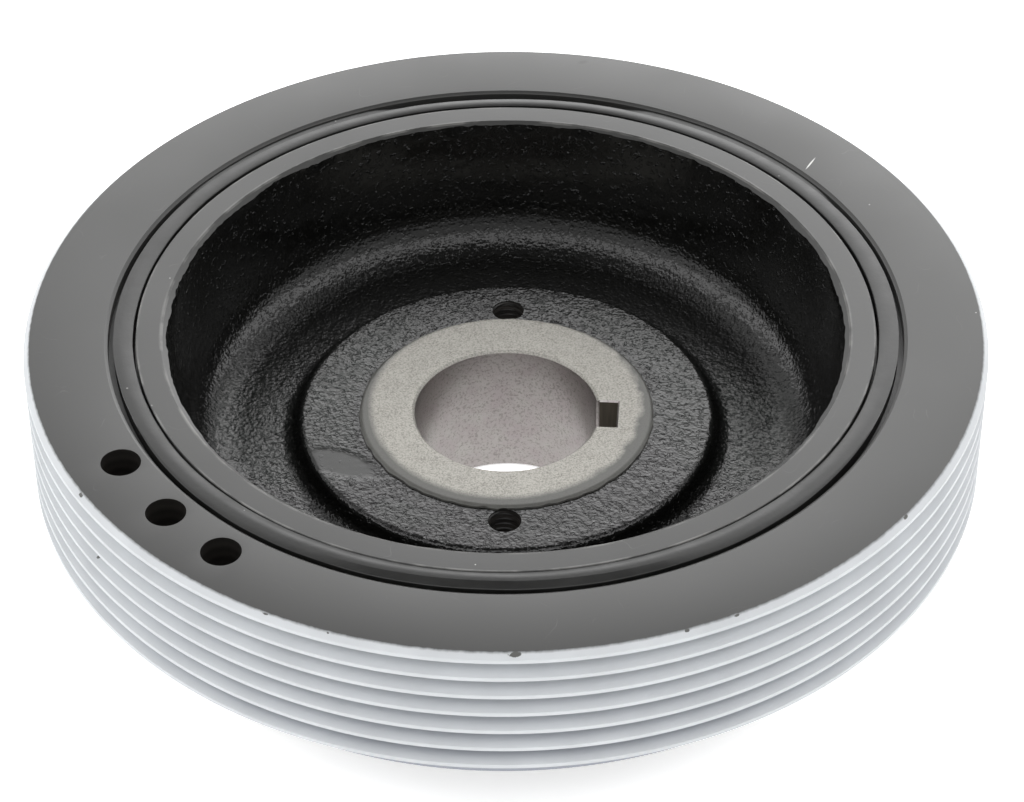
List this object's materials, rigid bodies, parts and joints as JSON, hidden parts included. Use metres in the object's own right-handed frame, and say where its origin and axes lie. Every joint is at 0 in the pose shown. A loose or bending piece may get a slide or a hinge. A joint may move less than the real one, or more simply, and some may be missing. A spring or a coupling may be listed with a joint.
{
  "type": "harmonic balancer",
  "caption": "Crankshaft harmonic balancer: dished iron hub, rubber damping ring and inertia ring with a grooved belt track.",
  "frame": {"origin": "on the bore axis at the end face of the snout, which is the lowest point of the part", "axes": "+Z along the bore axis, out of the front face; +Y through one of the two puller holes; the keyway lies close to +X"},
  "size_m": [0.1538, 0.1538, 0.0439],
  "materials": {
    "black_painted_iron": "gloss black paint on rough sand-cast iron, with a bare blasted land and bore",
    "damping_rubber": "satin black rubber, painted over at the front",
    "grey_painted_iron": "light grey primer on the belt track, satin black paint on the front face"
  },
  "bodies": {
    "root": {"hub": "black_painted_iron", "rubber_ring": "damping_rubber", "pulley_ring": "grey_painted_iron"}
  },
  "joints": []
}
